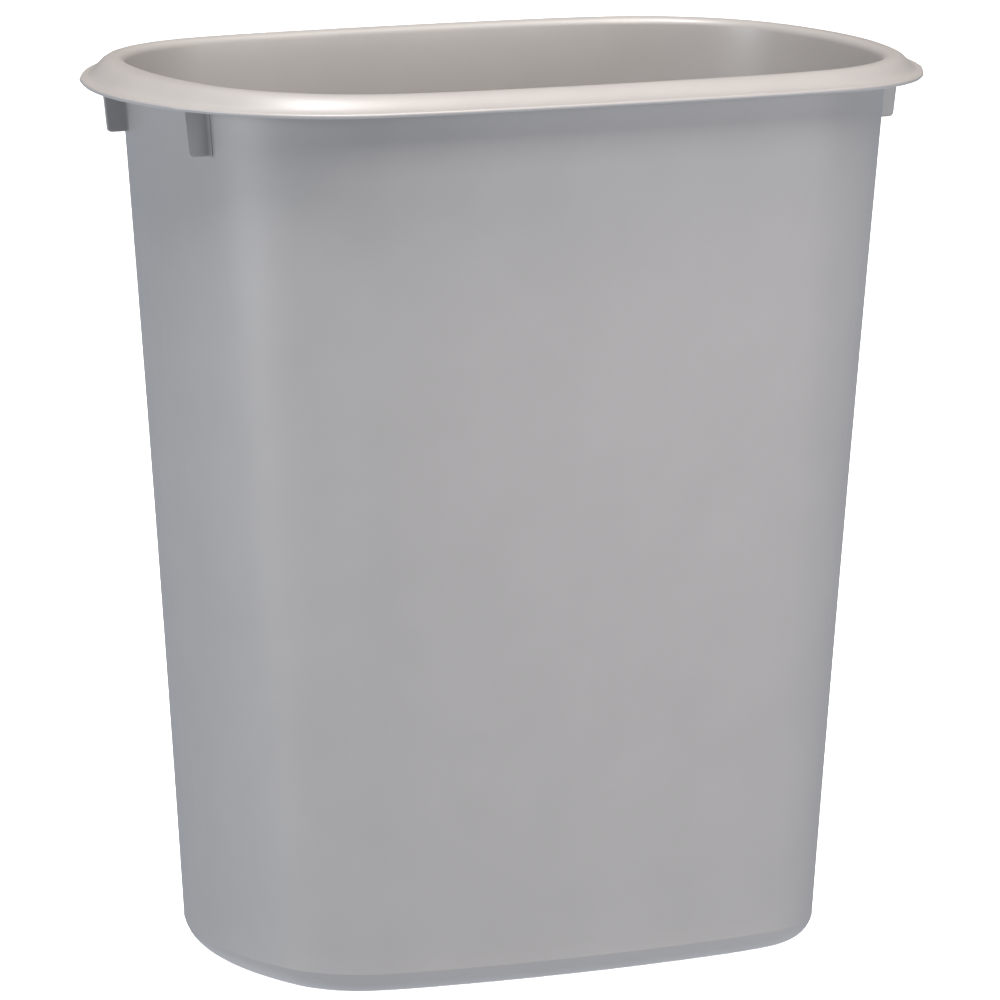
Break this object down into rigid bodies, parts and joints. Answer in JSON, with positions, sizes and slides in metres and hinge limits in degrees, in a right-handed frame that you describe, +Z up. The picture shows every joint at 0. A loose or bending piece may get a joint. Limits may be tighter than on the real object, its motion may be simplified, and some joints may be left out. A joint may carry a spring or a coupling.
{
  "type": "wastebasket",
  "caption": "Open-top oval-rectangular plastic office wastebasket with tapered walls, a rounded rim with an outward flange, and small stacking lugs under the rim at both ends.",
  "frame": {"origin": "middle of the footprint, on the floor", "axes": "+Z up; +X along the long side, to the right; +Y from the front long side to the back one"},
  "size_m": [0.365, 0.2438, 0.381],
  "materials": {
    "grey_polyethylene": "fine matte moulded texture"
  },
  "bodies": {
    "root": {"tapered_wall": "grey_polyethylene", "foot_ring": "grey_polyethylene", "floor_panel": "grey_polyethylene", "rolled_rim": "grey_polyethylene", "rim_lip": "grey_polyethylene", "stacking_lug_left_front": "grey_polyethylene", "stacking_lug_left_back": "grey_polyethylene", "stacking_lug_right_front": "grey_polyethylene", "stacking_lug_right_back": "grey_polyethylene"}
  },
  "joints": []
}
